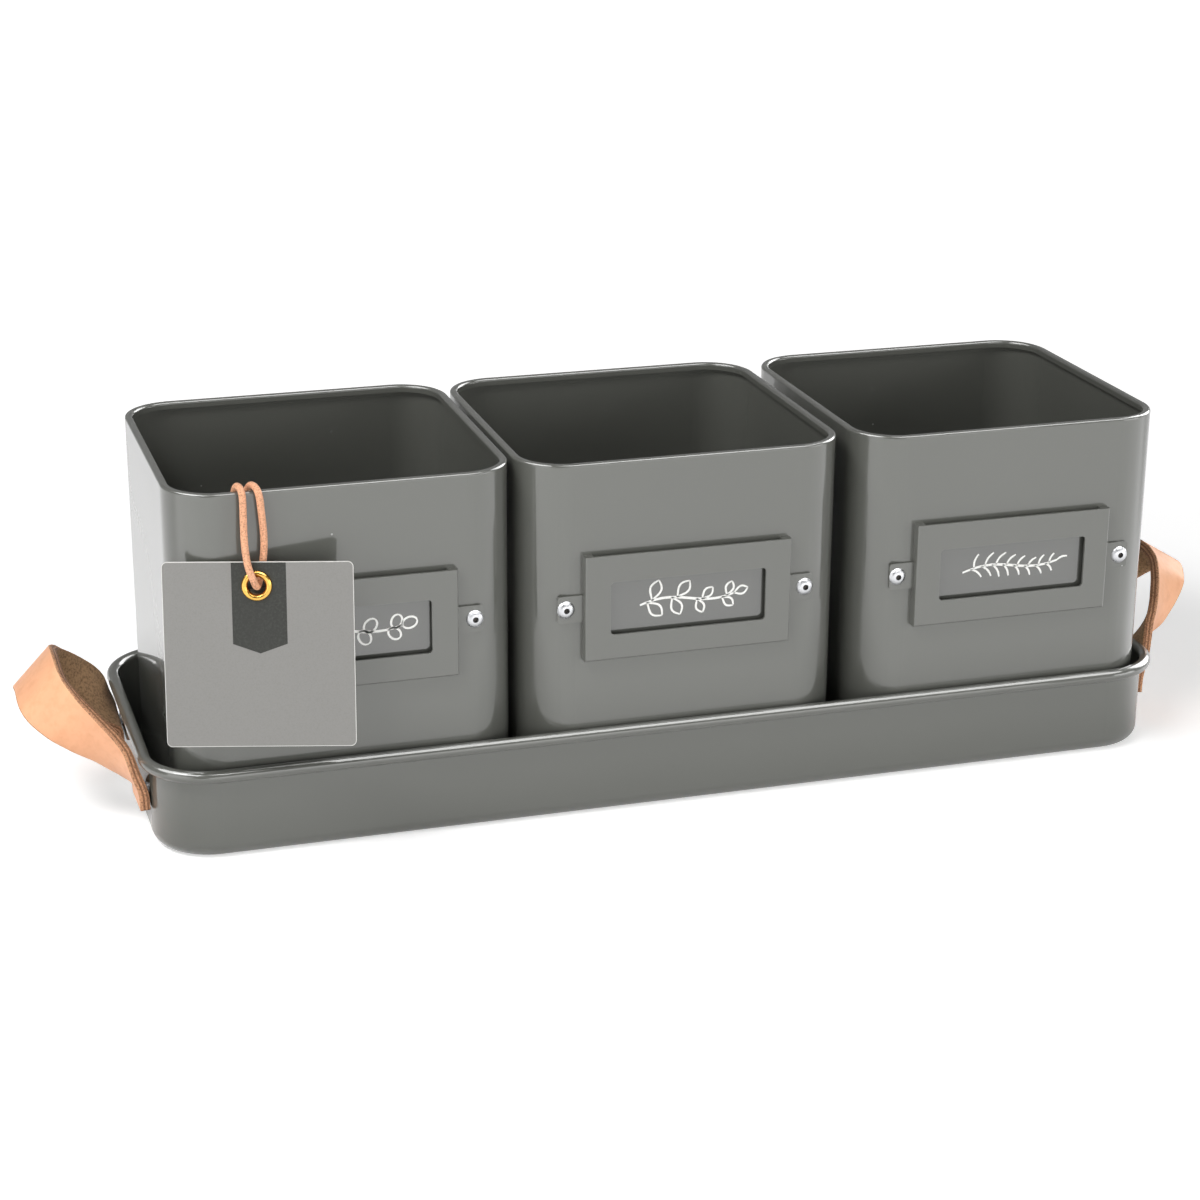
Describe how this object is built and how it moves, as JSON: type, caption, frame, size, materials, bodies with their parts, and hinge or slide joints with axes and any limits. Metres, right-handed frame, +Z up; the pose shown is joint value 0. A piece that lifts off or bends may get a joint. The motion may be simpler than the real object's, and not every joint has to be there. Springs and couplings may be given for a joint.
{
  "type": "indoor herb planter",
  "caption": "Square lift-out herb pots with riveted label holders, standing in a long rolled-rim metal drip tray with leather strap loop handles and a corded swing tag.",
  "frame": {"origin": "middle of the tray underside, on the surface that it stands on", "axes": "+X along the row of pots, -Y towards the label holders, +Z up"},
  "size_m": [0.4874, 0.1554, 0.1419],
  "materials": {
    "grey_powder_coat": "satin gloss dark grey powder coat",
    "tan_leather": "natural vegetable-tanned leather, smooth grain outside",
    "rivet_metal": "bright",
    "mandrel_steel": "broken end, dark",
    "label_card": "dark grey coated card with a white line drawing",
    "tag_card": "grey recycled board, printed darker at the eyelet",
    "eyelet_brass": "polished",
    "lace_leather": "round leather lace"
  },
  "bodies": {
    "tray": {"tray": "grey_powder_coat", "left_strap_front_foot": "tan_leather", "left_strap_rear_foot": "tan_leather", "right_strap_front_foot": "tan_leather", "right_strap_rear_foot": "tan_leather", "left_strap_rivets": "rivet_metal", "right_strap_rivets": "rivet_metal"},
    "left_handle": {"left_strap_loop": "tan_leather"},
    "right_handle": {"right_strap_loop": "tan_leather"},
    "pot_left": {"pot_left": "grey_powder_coat", "label_holder_left": "grey_powder_coat", "label_rivets_left": "rivet_metal", "rivet_mandrels_left": "mandrel_steel"},
    "pot_middle": {"pot_middle": "grey_powder_coat", "label_holder_middle": "grey_powder_coat", "label_rivets_middle": "rivet_metal", "rivet_mandrels_middle": "mandrel_steel"},
    "pot_right": {"pot_right": "grey_powder_coat", "label_holder_right": "grey_powder_coat", "label_rivets_right": "rivet_metal", "rivet_mandrels_right": "mandrel_steel"},
    "card_left": {"label_card_left": "label_card"},
    "card_middle": {"label_card_middle": "label_card"},
    "card_right": {"label_card_right": "label_card"},
    "tag": {"swing_tag": "tag_card", "tag_eyelet": "eyelet_brass", "eyelet_washer": "eyelet_brass", "tag_cord": "lace_leather", "tag_knot": "lace_leather"}
  },
  "joints": [
    {"name": "left_handle_swing", "type": "hinge", "parent": "tray", "child": "left_handle", "pos_m": [-0.2026, 0, 0.0332], "axis": [0, 1, 0], "range_deg": [0, 40]},
    {"name": "right_handle_swing", "type": "hinge", "parent": "tray", "child": "right_handle", "pos_m": [0.2026, 0, 0.0332], "axis": [0, -1, 0], "range_deg": [0, 40]},
    {"name": "pot_left_lift", "type": "slide", "parent": "tray", "child": "pot_left", "axis": [0, 0, 1], "range_m": [0, 0.145]},
    {"name": "pot_middle_lift", "type": "slide", "parent": "tray", "child": "pot_middle", "axis": [0, 0, 1], "range_m": [0, 0.145]},
    {"name": "pot_right_lift", "type": "slide", "parent": "tray", "child": "pot_right", "axis": [0, 0, 1], "range_m": [0, 0.145]},
    {"name": "card_left_slide", "type": "slide", "parent": "pot_left", "child": "card_left", "axis": [0, 0, 1], "range_m": [0, 0.034]},
    {"name": "card_middle_slide", "type": "slide", "parent": "pot_middle", "child": "card_middle", "axis": [0, 0, 1], "range_m": [0, 0.042]},
    {"name": "card_right_slide", "type": "slide", "parent": "pot_right", "child": "card_right", "axis": [0, 0, 1], "range_m": [0, 0.042]},
    {"name": "tag_lift", "type": "slide", "parent": "pot_left", "child": "tag", "axis": [0, 0, 1], "range_m": [0, 0.06]}
  ]
}
